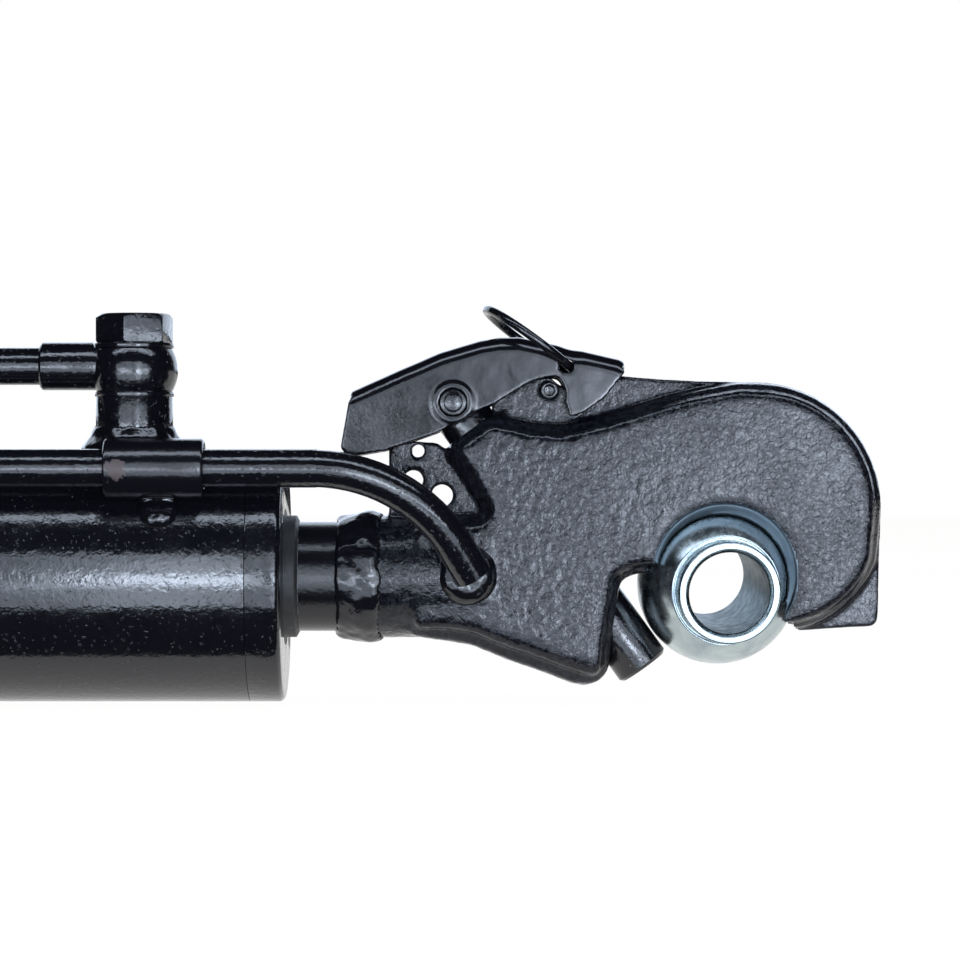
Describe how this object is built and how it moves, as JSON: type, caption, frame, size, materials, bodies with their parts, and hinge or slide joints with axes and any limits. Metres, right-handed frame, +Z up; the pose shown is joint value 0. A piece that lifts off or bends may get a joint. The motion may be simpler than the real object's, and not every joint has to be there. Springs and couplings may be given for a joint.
{
  "type": "hydraulic top link",
  "caption": "Double-acting hydraulic top link for a tractor hitch, with lock valve, anti-rotation bar and a quick-coupler hook holding a swivel ball.",
  "frame": {"origin": "centre of the tractor-end ball, on the cylinder's axis", "axes": "+X along the cylinder from the tractor end to the hook, +Z up towards the oil pipe and the lever, -Y towards the anti-rotation bar"},
  "size_m": [0.653, 0.0865, 0.1277],
  "materials": {
    "black_paint": "gloss black enamel with slight orange peel",
    "cast_paint": "gloss black enamel over rough sand-cast skin",
    "sheet_paint": "satin black enamel on pressed sheet",
    "seal_rubber": "smooth",
    "bronze": "turned",
    "plain_steel": "turned and oiled",
    "spring_steel": "drawn wire",
    "zinc_plate": "bright zinc plate with a bluish passivation",
    "hard_chrome": "ground and hard-chromed; its welded end is painted black"
  },
  "bodies": {
    "barrel": {"barrel_tube": "black_paint", "rear_eye_cap": "black_paint", "gland_head": "black_paint", "gland_o_ring": "seal_rubber", "rod_wiper": "seal_rubber", "rod_seal": "seal_rubber", "guide_bush": "bronze", "front_port_boss": "black_paint", "front_boss_weld": "black_paint", "banjo_bolt": "black_paint", "banjo_washers": "black_paint", "banjo_eye": "black_paint", "oil_pipe": "black_paint", "pipe_nut": "black_paint", "pipe_ferrule": "plain_steel", "valve_saddle": "black_paint", "valve_body": "black_paint", "valve_screws": "black_paint", "valve_o_ring": "seal_rubber", "valve_seats": "plain_steel", "valve_plugs": "black_paint", "poppet_spring_left": "spring_steel", "poppet_spring_right": "spring_steel", "guide_sleeve": "black_paint", "sleeve_weld": "black_paint", "grease_nipple": "zinc_plate"},
    "rod": {"piston_rod": "hard_chrome", "piston": "plain_steel", "piston_seal": "seal_rubber", "piston_wear_ring": "bronze", "piston_nut": "plain_steel", "hook_casting": "cast_paint", "hook_weld": "black_paint", "anti_rotation_bar": "black_paint", "bar_weld": "black_paint", "lug_pin": "black_paint", "latch_cross_pin": "plain_steel", "latch_spring": "spring_steel"},
    "latch": {"latch_bar": "black_paint", "lever_rivet": "black_paint"},
    "lever": {"latch_lever": "sheet_paint"},
    "ring": {"pull_ring": "black_paint"},
    "hook_swivel": {"hook_ball": "zinc_plate"},
    "tractor_swivel": {"rear_ball": "zinc_plate"},
    "pilot": {"pilot_piston": "plain_steel"},
    "poppet_l": {"poppet_left": "plain_steel"},
    "poppet_r": {"poppet_right": "plain_steel"}
  },
  "joints": [
    {"name": "rod_slide", "type": "slide", "parent": "barrel", "child": "rod", "axis": [1, 0, 0], "range_m": [0, 0.24]},
    {"name": "latch_slide", "type": "slide", "parent": "rod", "child": "latch", "axis": [-0.585, 0, 0.8111], "range_m": [0, 0.02], "stiffness_N_per_m": 1500, "springref_m": -0.02, "deforming": ["latch_spring"]},
    {"name": "lever_turn", "type": "hinge", "parent": "latch", "child": "lever", "pos_m": [0.4757, 0, 0.0554], "axis": [0, -1, 0], "range_deg": [0, 45]},
    {"name": "ring_swing", "type": "hinge", "parent": "lever", "child": "ring", "pos_m": [0.5115, 0, 0.067], "axis": [0, -1, 0], "range_deg": [-130, 6]},
    {"name": "hook_ball_turn", "type": "hinge", "parent": "rod", "child": "hook_swivel", "pos_m": [0.56, 0, -0.0024], "axis": [0.104, -0.9899, -0.0958], "continuous": true},
    {"name": "tractor_ball_turn", "type": "hinge", "parent": "barrel", "child": "tractor_swivel", "pos_m": [0, 0, 0], "axis": [0, -1, 0], "continuous": true},
    {"name": "pilot_slide", "type": "slide", "parent": "barrel", "child": "pilot", "axis": [0, 1, 0], "range_m": [-0.0017, 0.0017]},
    {"name": "poppet_left_lift", "type": "slide", "parent": "barrel", "child": "poppet_l", "axis": [0, -1, 0], "range_m": [0, 0.0025], "stiffness_N_per_m": 800, "springref_m": -0.004, "deforming": ["poppet_spring_left"]},
    {"name": "poppet_right_lift", "type": "slide", "parent": "barrel", "child": "poppet_r", "axis": [0, 1, 0], "range_m": [0, 0.0025], "stiffness_N_per_m": 800, "springref_m": -0.004, "deforming": ["poppet_spring_right"]}
  ],
  "couplings": [
    {"joint": "lever_turn", "follows": "latch_slide", "rad_per_m": 39.27}
  ]
}
